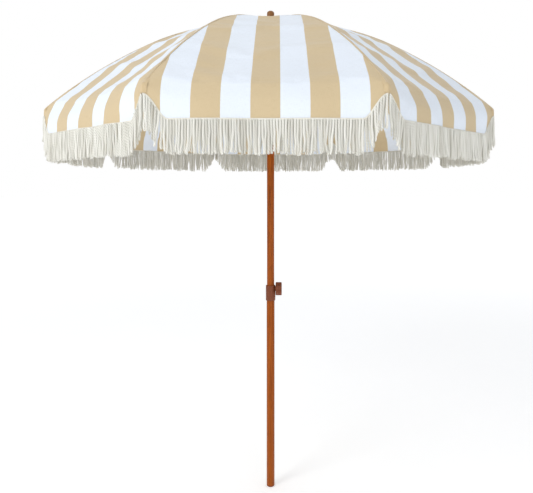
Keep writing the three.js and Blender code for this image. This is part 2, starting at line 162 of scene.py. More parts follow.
class Mat:
    """A node material. Keywords set the shader's inputs, until a link takes one over."""

    def __init__(self, name, **values):
        self.material = bpy.data.materials.new(name)
        self.material.use_nodes = True
        self.tree = self.material.node_tree
        self.shader = self.tree.nodes["Principled BSDF"]
        for key, value in values.items():
            self.shader.inputs[key.replace("_", " ")].default_value = value

    def node(self, kind, **props):
        made = self.tree.nodes.new(kind)
        for key, value in props.items():
            setattr(made, key, value)
        return made

    def feed(self, source, socket):
        """Links a socket into another, or sets a plain value on it."""
        if isinstance(source, bpy.types.NodeSocket):
            self.tree.links.new(source, socket)
        else:
            socket.default_value = source

    def coords(self, which="Object", scale=(1, 1, 1)):
        if which == "UV":
            source = self.node("ShaderNodeUVMap", uv_map="UVMap").outputs["UV"]
        else:
            source = self.node("ShaderNodeTexCoord").outputs[which]
        mapping = self.node("ShaderNodeMapping")
        mapping.inputs["Scale"].default_value = scale
        self.feed(source, mapping.inputs["Vector"])
        return mapping.outputs["Vector"]

    def noise(self, stretch=(1, 1, 1), which="Object", scale=1.0, detail=3.0, rough=0.5):
        """Noise over coordinates that are first multiplied by stretch."""
        vector = self.coords(which, stretch)
        made = self.node("ShaderNodeTexNoise")
        made.inputs["Scale"].default_value = scale
        made.inputs["Detail"].default_value = detail
        made.inputs["Roughness"].default_value = rough
        self.feed(vector, made.inputs["Vector"])
        return made.outputs["Fac"]

    def ramp(self, factor, *stops):
        """A colour ramp; stops are (position, colour)."""
        made = self.node("ShaderNodeValToRGB")
        elements = made.color_ramp.elements
        while len(elements) > 1:
            elements.remove(elements[-1])
        elements[0].position, elements[0].color = stops[0]
        for position, colour in stops[1:]:
            elements.new(position).color = colour
        self.feed(factor, made.inputs["Fac"])
        return made.outputs["Color"]

    def math(self, operation, *values):
        made = self.node("ShaderNodeMath", operation=operation)
        for value, socket in zip(values, made.inputs):
            self.feed(value, socket)
        return made.outputs[0]

    def mix(self, factor, a, b, blend="MIX"):
        made = self.node("ShaderNodeMix", data_type="RGBA", blend_type=blend)
        # the colour sockets of a mix node are its inputs 6 and 7 and its output 2
        for index, value in ((0, factor), (6, a), (7, b)):
            self.feed(value, made.inputs[index])
        return made.outputs[2]

    def color(self, colour):
        self.feed(colour, self.shader.inputs["Base Color"])

    def rough(self, factor, low, high):
        made = self.node("ShaderNodeMapRange")
        made.inputs["To Min"].default_value = low
        made.inputs["To Max"].default_value = high
        self.feed(factor, made.inputs["Value"])
        self.feed(made.outputs[0], self.shader.inputs["Roughness"])

    def bump(self, height, strength, distance):
        made = self.node("ShaderNodeBump")
        made.inputs["Strength"].default_value = strength
        made.inputs["Distance"].default_value = distance
        self.feed(height, made.inputs["Height"])
        self.feed(made.outputs["Normal"], self.shader.inputs["Normal"])


# ---- materials -----------------------------------------------------------------------------
def woven(m, uv, pitch):
    """Plain weave: its height, and the slubs of the threads both ways."""
    axes = m.node("ShaderNodeSeparateXYZ")
    m.feed(uv, axes.inputs[0])
    warp = m.math("SINE", m.math("MULTIPLY", axes.outputs[0], math.pi / pitch))
    weft = m.math("SINE", m.math("MULTIPLY", axes.outputs[1], math.pi / pitch))
    over = m.math("MULTIPLY", warp, weft)
    slub_along = m.noise(which="UV", stretch=(900, 60, 1), detail=3, rough=0.6)
    slub_across = m.noise(which="UV", stretch=(60, 900, 1), detail=3, rough=0.6)
    threads = m.math("ADD", slub_along, slub_across)
    return m.math("ADD", m.math("MULTIPLY", over, 0.35), threads), threads


def canvas():
    m = Mat("striped_canvas", Roughness=0.88, Sheen_Weight=0.25, Sheen_Roughness=0.45,
            Specular_IOR_Level=0.2)
    uv = m.coords("UV")
    axes = m.node("ShaderNodeSeparateXYZ")
    m.feed(uv, axes.inputs[0])
    height, threads = woven(m, uv, pitch=0.0011)
    # stripe edges wander by a thread
    wander = m.math("SUBTRACT", m.noise(which="UV", stretch=(40, 700, 1), detail=1), 0.5)
    edge = m.math("MULTIPLY", wander, 0.0022)
    across = m.math("ADD", m.math("ABSOLUTE", axes.outputs[0]), edge)
    band = m.math("MODULO", m.math("ADD", m.math("DIVIDE", across, STRIPE), 0.5), 2.0)
    is_white = m.math("GREATER_THAN", band, 1.0)
    tone = m.noise(which="UV", stretch=(3, 3, 1), detail=4, rough=0.6)
    tan_stripe = m.mix(m.math("MULTIPLY", tone, 0.7), srgb(211, 191, 155), srgb(199, 179, 143))
    white_stripe = m.mix(m.math("MULTIPLY", tone, 0.7), srgb(233, 240, 249), srgb(224, 232, 243))
    base = m.mix(is_white, tan_stripe, white_stripe)
    flecks = m.ramp(threads, (0.72, (0.90, 0.885, 0.86, 1)), (1.0, WHITE), (1.3, WHITE))
    m.color(m.mix(0.8, base, flecks, blend="MULTIPLY"))
    m.rough(threads, low=0.95, high=0.8)
    m.bump(height, strength=0.35, distance=0.0006)
    return m.material


def plain_cloth(name, light, dark, pitch=0.0012):
    m = Mat(name, Roughness=0.9, Sheen_Weight=0.2, Sheen_Roughness=0.5, Specular_IOR_Level=0.2)
    height, threads = woven(m, m.coords("UV"), pitch)
    tone = m.noise(which="UV", stretch=(9, 9, 1), detail=4, rough=0.6)
    flecks = m.ramp(threads, (0.7, (0.86, 0.85, 0.82, 1)), (1.05, WHITE))
    m.color(m.mix(0.7, m.mix(tone, dark, light), flecks, blend="MULTIPLY"))
    m.rough(threads, low=0.98, high=0.82)
    m.bump(height, strength=0.5, distance=0.0008)
    return m.material


def cord():
    m = Mat("cotton_cord", Roughness=0.93, Sheen_Weight=0.35, Sheen_Roughness=0.5,
            Specular_IOR_Level=0.15)
    # the tone attribute holds each cord's random tone and painted shade: darker in the groove
    # between the plies and on the inner row
    tone_and_painted_shade = m.node("ShaderNodeAttribute", attribute_name="tone").outputs["Fac"]
    fibres = m.noise((1400, 1400, 300), detail=3, rough=0.6)
    stain = m.noise(scale=14.0, detail=3, rough=0.6)
    # painted shade: the dark end stands for the shaded grooves and the cords behind, the light end
    # for the lit cord
    base = m.mix(tone_and_painted_shade, srgb(186, 183, 170), srgb(250, 250, 245))
    base = m.mix(m.math("MULTIPLY", stain, 0.5), base, srgb(230, 227, 216))
    shade = m.ramp(fibres, (0.3, (0.80, 0.79, 0.75, 1)), (0.6, WHITE))
    m.color(m.mix(0.6, base, shade, blend="MULTIPLY"))
    m.rough(fibres, low=0.99, high=0.85)
    m.bump(fibres, strength=0.6, distance=0.0006)
    return m.material


def wood_tone():
    m = Mat("wood_tone_tube", Roughness=0.42, Coat_Weight=0.06, Coat_Roughness=0.15,
            Specular_IOR_Level=0.18)
    grain = m.noise((230, 230, 5.5), detail=6, rough=0.65)
    broad = m.noise((46, 46, 1.6), detail=3, rough=0.55)
    pores = m.noise((900, 900, 26), detail=2, rough=0.5)
    colour = m.ramp(grain, (0.30, srgb(104, 46, 2)), (0.46, srgb(152, 74, 4)),
                    (0.60, srgb(174, 88, 8)), (0.78, srgb(192, 106, 18)))
    colour = m.mix(m.math("MULTIPLY", broad, 0.55), colour, srgb(148, 70, 4))
    in_pore = m.ramp(pores, (0.30, WHITE), (0.38, BLACK))
    m.color(m.mix(in_pore, colour, srgb(70, 28, 4)))
    scuff = m.noise((60, 60, 60), detail=5, rough=0.7)
    m.rough(scuff, low=0.34, high=0.56)
    height = m.math("ADD", grain, m.math("MULTIPLY", pores, 0.6))
    m.bump(height, strength=0.18, distance=0.0004)
    return m.material


def moulded(name, light, dark, rough=(0.42, 0.62), wear_amount=0.35):
    """Moulded plastic: cloudy, gritty, and paler where worn."""
    m = Mat(name, Specular_IOR_Level=0.3)
    cloud = m.noise((38, 38, 38), detail=5, rough=0.65)
    grit = m.noise((1500, 1500, 1500), detail=2, rough=0.5)
    wear = m.noise((130, 130, 420), detail=6, rough=0.75)
    base = m.mix(cloud, dark, light)
    worn = m.math("MULTIPLY", m.ramp(wear, (0.60, BLACK), (0.75, WHITE)), wear_amount)
    paler = tuple(min(1, x * 1.35) for x in light[:3]) + (1,)
    m.color(m.mix(worn, base, paler))
    m.rough(cloud, *rough)
    m.bump(grit, strength=0.25, distance=0.0002)
    return m.material


def metal(name, colour, rough, metallic):
    m = Mat(name, Metallic=metallic)
    brushed = m.noise((300, 300, 40), detail=4, rough=0.6)
    spots = m.noise((220, 220, 220), detail=5, rough=0.7)
    darker = tuple(c * 0.86 for c in colour[:3]) + (1,)
    spotted = m.ramp(spots, (0.62, BLACK), (0.8, (0.6, 0.6, 0.6, 1)))
    m.color(m.mix(spotted, m.mix(brushed, darker, colour), srgb(150, 140, 122)))
    m.rough(brushed, *rough)
    m.bump(brushed, strength=0.12, distance=0.0002)
    return m.material


CANVAS = canvas()
TAPE = plain_cloth("hem_tape", light=srgb(240, 238, 229), dark=srgb(226, 222, 210))
SEAM = plain_cloth("seam_tape", light=srgb(216, 194, 156), dark=srgb(200, 178, 140))
THREAD = plain_cloth("sewing_thread", light=srgb(244, 240, 230), dark=srgb(226, 220, 206),
                     pitch=0.0006)
CORD = cord()
BY_SLOT = {
    "wood_tone_tube": wood_tone(),
    "brown_plastic": moulded("brown_plastic", light=srgb(138, 76, 46), dark=srgb(104, 52, 28)),
    "finial_brown": moulded("finial_brown", light=srgb(150, 106, 62), dark=srgb(122, 80, 42)),
    "white_plastic": moulded("white_plastic", light=srgb(236, 233, 224),
                             dark=srgb(224, 220, 208), rough=(0.38, 0.55), wear_amount=0.15),
    "steel": metal("steel", srgb(190, 189, 186), rough=(0.25, 0.42), metallic=1.0),
    "coated_steel": metal("coated_steel", srgb(234, 232, 226), rough=(0.36, 0.5), metallic=0.0),
    "striped_canvas": CANVAS,
    "cotton_fringe": CORD,
}
# thin sheets are seen from both sides
for material in bpy.data.materials:
    material.use_backface_culling = False


# ---- CAD nodes: rounded edges and a finish each --------------------------------------------
def smoother():
    """A node group that shades smooth, but keeps edges above 32 degrees sharp."""
    group = bpy.data.node_groups.new("smooth_by_angle", "GeometryNodeTree")
    for direction in ("INPUT", "OUTPUT"):
        group.interface.new_socket("Geometry", in_out=direction,
                                   socket_type="NodeSocketGeometry")
    new, link = group.nodes.new, group.links.new
    group_in, group_out = new("NodeGroupInput"), new("NodeGroupOutput")
    strip_normals = new("GeometryNodeRemoveAttribute")
    strip_normals.inputs["Name"].default_value = "custom_normal"
    smooth_faces = new("GeometryNodeSetShadeSmooth")
    smooth_faces.domain = "FACE"
    sharp_edges = new("GeometryNodeSetShadeSmooth")
    sharp_edges.domain = "EDGE"
    sharp_edges.inputs["Shade Smooth"].default_value = False
    edge_angle = new("GeometryNodeInputMeshEdgeAngle")
    compare = new("FunctionNodeCompare")
    compare.data_type, compare.operation = "FLOAT", "GREATER_THAN"
    compare.inputs[1].default_value = math.radians(32)
    link(group_in.outputs[0], strip_normals.inputs["Geometry"])
    link(strip_normals.outputs[0], smooth_faces.inputs["Geometry"])
    link(smooth_faces.outputs[0], sharp_edges.inputs["Geometry"])
    link(edge_angle.outputs["Unsigned Angle"], compare.inputs[0])
    link(compare.outputs[0], sharp_edges.inputs["Selection"])
    link(sharp_edges.outputs[0], group_out.inputs[0])
    return group


CLOTH_NODES = ("canopy_gore", "valance", "fringe")
THIN_NODES = ("rib", "stretcher", "hub_wire", "runner_wire", "catch_pin", "runner_catch")


def round_edges(ob, width, smooth_group):
    weld = ob.modifiers.new("weld", "WELD")
    weld.merge_threshold = 0.00002
    bevel = ob.modifiers.new("edges", "BEVEL")
    bevel.width = width
    bevel.segments = 2
    bevel.limit_method = "ANGLE"
    bevel.angle_limit = math.radians(38)
    bevel.use_clamp_overlap = True
    smooth = ob.modifiers.new("smooth", "NODES")
    smooth.node_group = smooth_group


smooth_group = smoother()
slot_of = {part["node"]: part["material_slot"] for part in frame["record"]["subparts"]}
for name, ob in frame["nodes"].items():
    ob.data.materials.clear()
    ob.data.materials.append(BY_SLOT[slot_of[name]])
    if not name.startswith(CLOTH_NODES):
        round_edges(ob, 0.0003 if name.startswith(THIN_NODES) else 0.0007, smooth_group)


# ---- mesh helpers --------------------------------------------------------------------------
def make(name, verts, faces, mats, uvs=None, slots=None, tones=None):
    """A smooth mesh object. Without uvs, its map is x and z."""
    me = bpy.data.meshes.new(name)
    me.from_pydata([tuple(v) for v in verts], [], [tuple(f) for f in faces])
    for material in mats:
        me.materials.append(material)
    if slots is not None:
        me.polygons.foreach_set("material_index", np.asarray(slots, np.int32))
    layer = me.uv_layers.new(name="UVMap")
    if uvs is None:
        uvs = [(v[0], v[2]) for v in verts]
    vertex_of_loop = np.zeros(len(me.loops), np.int32)
    me.loops.foreach_get("vertex_index", vertex_of_loop)
    layer.data.foreach_set("uv", np.asarray(uvs, np.float32)[vertex_of_loop].ravel())
    if tones is not None:
        tone = me.attributes.new("tone", "FLOAT", "POINT")
        tone.data.foreach_set("value", np.asarray(tones, np.float32))
    me.shade_smooth()
    me.update()
    ob = bpy.data.objects.new(name, me)
    bpy.context.scene.collection.objects.link(ob)
    return ob


def turn(points, angle):
    """Points turned about Z."""
    c, s = math.cos(angle), math.sin(angle)
    p = np.asarray(points, float).reshape(-1, 3)
    return np.stack([p[:, 0] * c - p[:, 1] * s, p[:, 0] * s + p[:, 1] * c, p[:, 2]], 1)


def grid_faces(rows, cols):
    corners = [i * cols + j for i in range(rows - 1) for j in range(cols - 1)]
    return [(a, a + cols, a + cols + 1, a + 1) for a in corners]


def flipped(faces):
    return [tuple(reversed(face)) for face in faces]


def unit(vectors, least=1e-12):
    return vectors / np.maximum(np.linalg.norm(vectors, axis=-1), least)[..., None]


class Parts:
    """Collects pieces of one mesh in a gore's frame."""

    def __init__(self):
        self.verts, self.faces, self.uvs, self.slots, self.tones = [], [], [], [], []

    def add(self, verts, faces, uvs, slot, tones):
        base = len(self.verts)
        self.verts.extend(verts)
        self.faces.extend(tuple(base + i for i in face) for face in faces)
        self.uvs.extend(uvs)
        self.slots.extend([slot] * len(faces))
        self.tones.extend(tones)

    def add_cloth(self, points, normals, uvs):
        """Both sides of a sheet, from grids of points, normals and uvs."""
        faces = grid_faces(*points.shape[:2])
        back = points - normals * CLOTH_THICK
        flat_uvs = uvs.reshape(-1, 2)
        tones = [0.5] * len(flat_uvs)
        self.add(points.reshape(-1, 3), faces, flat_uvs, 0, tones)
        self.add(back.reshape(-1, 3), flipped(faces), flat_uvs, 0, tones)

    def add_tube(self, path, radius, sides, uv_start, slot=0, tone=0.5, centre=None):
        """A capped tube. Given the cord's centre line, the side facing it is darker: painted shade
        in the groove between the plies.
        """
        count = len(path)
        along = unit(np.gradient(path, axis=0), 1e-9)
        side_a = unit(np.cross(along, np.array([1.0, 0, 0])), 1e-9)
        side_b = np.cross(along, side_a)
        around = 2 * math.pi * np.arange(sides) / sides
        cos, sin = np.cos(around)[None, :, None], np.sin(around)[None, :, None]
        out = cos * side_a[:, None] + sin * side_b[:, None]
        verts = path[:, None] + np.broadcast_to(radius, count)[:, None, None] * out
        tones = np.full((count, sides), float(tone))
        if centre is not None:
            # painted shade: the side of each ply facing the cord's centre, in the groove between the
            # plies, gets a darker tone
            away = unit(path - centre, 1e-9)
            tones = np.clip(tone + 0.42 * (out * away[:, None]).sum(-1), 0, 1)
        u0, v0 = uv_start
        uvs = [(u0 + j / sides * 0.01, v0 + i * 0.004)
               for i in range(count) for j in range(sides)]
        faces = []
        for i in range(count - 1):
            ring, after = i * sides, (i + 1) * sides
            for j in range(sides):
                k = (j + 1) % sides
                faces.append((ring + j, ring + k, after + k, after + j))
        faces.append(tuple(reversed(range(sides))))
        faces.append(tuple((count - 1) * sides + j for j in range(sides)))
        self.add(verts.reshape(-1, 3), faces, uvs, slot, tones.ravel())

    def build(self, name, angle, mats, with_tones=False):
        return make(name, turn(np.array(self.verts), angle), self.faces, mats, self.uvs,
                    self.slots, self.tones if with_tones else None)


def shade_cloth(ob, normals, angle):
    """Gives the leading vertices, the sheet's two sides, the normals of the smooth surface,
    so that neighbouring strips shade as one cloth."""
    flat = normals.reshape(-1, 3)
    cloth = turn(np.concatenate([flat, -flat]), angle)
    every = np.array([v.normal for v in ob.data.vertices], float)
    every[:len(cloth)] = cloth
    ob.data.normals_split_custom_set_from_vertices([tuple(x) for x in unit(every)])


def surface_normals(surface, a, b, step=1e-3):
    """Unit normals of surface(a, b) by differences, turned to face outwards and up."""
    along_a = surface(np.minimum(a + step, 1), b) - surface(np.maximum(a - step, 0), b)
    along_b = surface(a, np.minimum(b + step, 1)) - surface(a, np.maximum(b - step, -1))
    normals = unit(np.cross(along_a, along_b))
    side = np.sign(normals[..., 0] * 0.6 + normals[..., 2] * 0.8)
    return normals * np.where(side == 0, 1, side)[..., None]


# ---- how one gore and its valance hang -----------------------------------------------------
SIM_ROWS, SIM_COLS, SIM_DROP_ROWS = 58, 33, 20
SIM_START = 0.02  # share of the rib where the trial cloth begins
SIM_HANG_U = 0.9005
SIM_LAST_FRAME = 36
MAX_SAG = 0.02


def simulate():
    """Hangs a gore held all round, with its valance hanging free below.
    Returns the gore's displacement at a grid of places."""
    share = np.linspace(SIM_START, 1, SIM_ROWS)
    across = np.linspace(-1, 1, SIM_COLS)
    radius, height = fabric_at(share)
    rest = np.stack([
        np.repeat((radius * COS_HALF)[:, None], SIM_COLS, 1),
        (radius * SIN_HALF)[:, None] * across[None, :],
        np.repeat(height[:, None], SIM_COLS, 1)], 2)
    fall = np.linspace(0, 1, SIM_DROP_ROWS + 1)[1:]
    hem = np.array([hem_z(HALF_CHORD * x) for x in across])
    hang = np.zeros((SIM_DROP_ROWS, SIM_COLS, 3))
    hang[..., 0] = SIM_HANG_U
    hang[..., 1] = HALF_CHORD * across
    hang[..., 2] = CHORD_Z + (hem - CHORD_Z) * fall[:, None]
    rows = SIM_ROWS + SIM_DROP_ROWS
    points = np.concatenate([rest, hang]).reshape(-1, 3)
    ob = make("cloth_trial", points, grid_faces(rows, SIM_COLS), [CANVAS])

    pins = [i * SIM_COLS + j for i in range(SIM_ROWS) for j in (0, SIM_COLS - 1)]
    pins += list(range(SIM_COLS))
    pins += [(SIM_ROWS - 1) * SIM_COLS + j for j in range(SIM_COLS)]
    ob.vertex_groups.new(name="pin").add(pins, 1.0, "REPLACE")
    cloth = ob.modifiers.new("cloth", "CLOTH")
    settings = cloth.settings
    settings.quality = 6
    settings.mass = 0.02
    settings.tension_stiffness = settings.compression_stiffness = 60
    settings.shear_stiffness = 25
    settings.bending_stiffness = 1.5
    settings.vertex_group_mass = "pin"
    settings.shrink_min = -0.004
    cloth.point_cache.frame_start, cloth.point_cache.frame_end = 1, SIM_LAST_FRAME
    scene = bpy.context.scene
    for number in range(1, SIM_LAST_FRAME + 1):
        scene.frame_set(number)
    hung = ob.evaluated_get(bpy.context.evaluated_depsgraph_get())
    places = np.array([p.co for p in hung.data.vertices], float).reshape(rows, SIM_COLS, 3)
    scene.frame_set(1)
    bpy.data.objects.remove(ob)
    return np.clip(np.nan_to_num(places[:SIM_ROWS] - rest), -MAX_SAG, MAX_SAG)


SAG = simulate()


def sag_at(share, across):
    """SAG between its grid places."""
    row = (share - SIM_START) / (1 - SIM_START) * (SIM_ROWS - 1)
    col = (across + 1) / 2 * (SIM_COLS - 1)
    row = np.clip(row, 0, SIM_ROWS - 1.001)
    col = np.clip(col, 0, SIM_COLS - 1.001)
    i, j = row.astype(int), col.astype(int)
    a, b = (row - i)[..., None], (col - j)[..., None]
    near_row = SAG[i, j] * (1 - a) * (1 - b) + SAG[i + 1, j] * a * (1 - b)
    return near_row + SAG[i, j + 1] * (1 - a) * b + SAG[i + 1, j + 1] * a * b


def gore_wrinkles(u, v, seed):
    """Soft wrinkles of a stretched gore, metres."""
    rng = np.random.default_rng(seed)
    total = np.zeros_like(u)
    for _ in range(9):
        freq = rng.uniform(5, 22)
        lean = rng.normal(0, 0.5)
        phase = freq * (v * math.cos(lean) + u * math.sin(lean)) * 2.0
        total += rng.normal(0, 1) / freq * np.sin(phase + rng.uniform(0, 6.28))
    return total * 0.0085


def valance_waves(v, seed):
    """Upright waves along the valance, before scaling."""
    rng = np.random.default_rng(seed)
    total = np.zeros_like(v)
    for _ in range(6):
        freq = rng.uniform(6, 26)
        total += rng.normal(0, 1) / freq * np.sin(freq * v + rng.uniform(0, 6.28))
    return total


def rounding(across):
    """Reach of the rounding: next to nothing at the ribs, full in the middle."""
    return ROUND * np.clip(1 - np.abs(across) ** 5, 0.03, 1)


def rounded(distance, reach, below):
    """Shift (out, up) from the crisp corner's sides onto a quadratic curve, at a distance from
    the corner, on the valance's side (below) or the gore's."""
    up_u, up_z = -0.725, 0.689  # direction up the gore from the corner
    along = distance / (2 * reach)
    tau = 0.5 + along if below else 0.5 - along
    start, middle, end = (1 - tau) ** 2, 2 * tau * (1 - tau), tau**2
    curve_u = start * (CORNER_U + up_u * reach) + middle * CORNER_U + end * CORNER_U
    curve_z = start * (CORNER_Z + up_z * reach) + middle * CORNER_Z + end * (CORNER_Z - reach)
    side_u = CORNER_U if below else CORNER_U + up_u * distance
    side_z = CORNER_Z - distance if below else CORNER_Z + up_z * distance
    inside = distance < reach
    return np.where(inside, curve_u - side_u, 0.0), np.where(inside, curve_z - side_z, 0.0)


def gore_surface(share, across, gore):
    """Points of a gore at a share of the rib's length and across (-1 to 1)."""
    radius, height = fabric_at(share)
    u = radius * COS_HALF
    v = (radius * SIN_HALF - EDGE_GAP) * across
    off_rib = 1 - across**2
    if SAG is None:
        sag_u, sag_z = 0, -0.006 * off_rib * np.clip(radius / 0.9, 0, 1)
    else:
        # alternate gores hang mirrored
        sag = sag_at(share, across * (1 if gore % 2 else -1)) * 0.8
        sag_u, sag_z = sag[..., 0], sag[..., 2]
    # wrinkles start a little way from the hub and calm down towards the rim
    from_hub = np.clip((share - 0.05) / 0.15, 0, 1)
    calm = 0.35 + 0.65 * np.clip((1 - share) / 0.12, 0, 1)
    wrinkle = gore_wrinkles(u, v, seed=100 + gore) * off_rib * from_hub * calm
    round_u, round_z = rounded((1 - share) * FABRIC_LEN, rounding(across), below=False)
    rim_fade = np.clip((1 - share) / 0.03, 0, 1)
    return np.stack([
        u + sag_u * rim_fade + wrinkle * 0.3 * rim_fade + round_u,
        v,
        height + sag_z * rim_fade + wrinkle * 0.8 * rim_fade + round_z], -1)


def valance_surface(v, down, gore):
    """Points of the valance at v across in metres; down is 0 at the top and 1 at the hem."""
    hem = np.vectorize(hem_z)(v)
    across = v / HALF_CHORD
    z = CORNER_Z + (hem - CORNER_Z) * down
    drop = CORNER_Z - z
    reach = np.minimum(rounding(across), 0.9 * (CORNER_Z - hem))
    round_u, round_z = rounded(drop, reach, below=True)
    u = CORNER_U + (VALANCE_U - CORNER_U) * smoothstep(np.clip(drop / 0.05, 0, 1))
    off_rib = 1 - np.abs(across) ** 6
    waves = valance_waves(v, seed=300 + gore) * 0.09 * off_rib * down**1.3
    return np.stack([u + round_u + np.clip(waves, -0.007, 0.008), v, z + round_z], -1)


# ---- how a strip pleats as the ribs fold ---------------------------------------------------
RIB_FOLD = math.radians(62.122)
GORE_TURN = math.radians(59.842)
# the direction in the open gore that faces outwards once folded
FOLDED_OUT = np.array([math.cos(GORE_TURN), 0, math.sin(GORE_TURN)])
FOLDED_CLEAR = 0.016  # cloth outside the folded ribs
LAP = 0.04  # extra share of width kept by every strip
LEAST_KEEP = 0.03
MIDDLE_KEEP = 0.46


def spread(radius):
    """Folded width as a share of the open width, at a radius along the rib."""
    height = np.interp(radius, RIB_R, RIB_Z)
    folded = (PIVOT_R + (radius - PIVOT_R) * math.cos(RIB_FOLD)
              + (height - HUB_Z) * math.sin(RIB_FOLD))
    return np.clip((folded + FOLDED_CLEAR) / np.maximum(radius, 0.03), LEAST_KEEP, 1)


def fit_squash(points, target):
    """The flattening (axis, point on its plane, share kept) that best takes points to target."""
    shift = target - points
    best = None
    for turned in np.linspace(0, math.pi, 61):
        for tilt in np.linspace(-math.pi / 2, math.pi / 2, 61):
            axis = np.array([math.cos(tilt) * math.cos(turned),
                             math.cos(tilt) * math.sin(turned), math.sin(tilt)])
            x, y = points @ axis, shift @ axis
            x_mean, y_mean = x.mean(), y.mean()
            variance = ((x - x_mean) ** 2).mean()
            slope = ((x - x_mean) * (y - y_mean)).mean() / max(variance, 1e-12)
            slope = min(max(slope, -0.97), -0.05)
            fitted = y_mean + slope * (x - x_mean)
            cost = (-2 * y * fitted + fitted * fitted).sum()
            if best is None or cost < best[0]:
                # the plane lies where the fitted shift is zero
                best = (cost, axis, x_mean - y_mean / slope, 1 + slope)
    _, axis, plane, keep = best
    return axis, axis * plane, min(1.0, keep + LAP)


def pleat_depth(v):
    return np.interp(v, CUTS, PLEAT_DEPTH)


def strip_points(lo, hi):
    """Sample places on a gore's strip."""
    points = []
    for u in np.linspace(0.14, 0.895, 14):
        half_width = u * TAN_HALF
        left, right = max(lo, -half_width), min(hi, half_width)
        if right - left > 0.004:
            z = float(np.interp(u / COS_HALF, FABRIC_R, FABRIC_Z))
            points += [(u, v, z) for v in np.linspace(left, right, 5)]
    return np.array(points)


def fit_gore_strip(lo, hi):
    points = strip_points(lo, hi)
    target = points.copy()
    target[:, 1] = points[:, 1] * spread(points[:, 0] / COS_HALF)
    ramp = np.clip((points[:, 0] - 0.15) / 0.6, 0, 1)
    target += FOLDED_OUT[None, :] * (pleat_depth(points[:, 1]) * ramp)[:, None]
    axis, anchor, keep = fit_squash(points, target)
    if lo < 0 < hi:
        # the only cloth near the hub: it stays wide enough to reach the ribs there, and tucks
        # behind its neighbours below
        keep = max(keep, MIDDLE_KEEP)
    return axis, anchor, keep


def fit_valance_strip(lo, hi):
    points = np.array([(VALANCE_U, v, z) for v in np.linspace(lo, hi, 7)
                       for z in (1.71, 1.6, 1.5)])
    target = points.copy()
    target[:, 1] = points[:, 1] * float(spread(RIB_R[-1]))
    target[:, 0] += pleat_depth(points[:, 1])
    return fit_squash(points, target)


def fold(ob):
    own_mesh(ob)


# ---- gores ---------------------------------------------------------------------------------
GORE_ROWS = 110
GORE_COLS = 19
# rows of the lap behind the valance: distance past the rim, shift inwards
LAP_ROWS = [(0.004, 0.0012), (0.011, 0.0020), (0.019, 0.0026)]


def gore_strip(gore, k, angle):
    lo, hi = STRIPS[k]
    first = 0.0
    if lo * hi > 0:
        # an outer strip starts where the gore is wide enough to reach it
        near = min(abs(lo), abs(hi)) + 0.0004
        first = float(np.interp(near / SIN_HALF, FABRIC_R, FABRIC_ALONG) / FABRIC_LEN)
    # the same rows in every strip, closer together where the cloth turns down
    shared = np.concatenate([np.linspace(0, 0.9, int(GORE_ROWS * 0.7)),
                             np.linspace(0.9, 1, int(GORE_ROWS * 0.3))])
    rows = np.array(sorted({first} | {float(x) for x in shared if x > first}))
    half_width = fabric_at(rows)[0] * SIN_HALF - EDGE_GAP
    left, right = np.maximum(lo, -half_width), np.minimum(hi, half_width)
    right = np.maximum(right, left + 1e-5)
    steps = np.linspace(0, 1, GORE_COLS)[None, :]
    across = (left[:, None] + (right - left)[:, None] * steps) / half_width[:, None]
    across = np.clip(across, -1, 1)
    share = np.repeat(rows[:, None], GORE_COLS, 1)
    points = gore_surface(share, across, gore)
    normals = surface_normals(lambda a, b: gore_surface(a, b, gore), share, across)
    # stripes narrow slightly towards the hub
    uvs = np.stack([points[..., 1] / (0.92 + 0.08 * share), share * FABRIC_LEN], -1)

    # a short lap behind the valance keeps the two joined to the eye as they fold; near the
    # ribs it hangs straight down
    way = points[-1] - points[-2]
    way /= np.linalg.norm(way, axis=-1)[:, None]
    plumb = np.clip((np.abs(across[-1]) - 0.72) / 0.15, 0, 1)[:, None]
    way = way * (1 - plumb) + np.array([0, 0, -1.0]) * plumb
    rim, rim_uvs = points[-1], uvs[-1]
    for step, inward in LAP_ROWS:
        row = rim + way * step - np.array([inward, 0, inward * 0.5])
        points = np.concatenate([points, row[None]])
        normals = np.concatenate([normals, normals[-1:]])
        uvs = np.concatenate([uvs, (rim_uvs + np.array([0, step]))[None]])

    parts = Parts()
    parts.add_cloth(points, normals, uvs)
    ob = parts.build(f"gore_{gore + 1}_strip_{k + 1}", angle, [CANVAS])
    shade_cloth(ob, normals, angle)
    return ob


# ---- valance, hem tape and fringe ----------------------------------------------------------
# the tape's section: offset from the hem line in the cloth's plane, bulge away from the cloth
TAPE_SECTION = [(-0.0022, 0.0), (-0.0010, 0.0009), (0.0004, 0.0011), (0.0020, 0.0009),
                (0.0034, 0.0)]
CORD_PITCH = 0.0088
CORD_LENGTH = 0.112
PLY_RADIUS, PLY_OFFSET, TWIST_LENGTH = 0.0021, 0.0020, 0.018
TAPE_SLOT, CORD_SLOT = 1, 2


def add_hem_tape(parts, gore, lo, hi):
    """A narrow braid along the hem, on the outer and the inner side."""
    count = max(6, int((hi - lo) / 0.006))
    hem_v = np.linspace(lo, hi, count)
    hem = valance_surface(hem_v, np.ones(count), gore)
    run_v, run_z = np.gradient(hem[:, 1]), np.gradient(hem[:, 2])
    length = np.maximum(np.hypot(run_v, run_z), 1e-9)
    normal_v, normal_z = -run_z / length, run_v / length
    faces = grid_faces(len(TAPE_SECTION), count)
    outer = [(a, d, c, b) for a, b, c, d in faces]
    for side, offset, side_faces in ((1, 0.0012, outer), (-1, -0.0018, flipped(outer))):
        verts, uvs = [], []
        for shift, bulge in TAPE_SECTION:
            v = np.clip(hem[:, 1] + normal_v * shift, -HALF_CHORD, HALF_CHORD)
            u, z = hem[:, 0] + offset + side * bulge, hem[:, 2] + normal_z * shift
            verts.extend(np.stack([u, v, z], 1))
            uvs += [(x, shift) for x in hem_v]
        parts.add(verts, side_faces, uvs, TAPE_SLOT, [0.6] * len(verts))


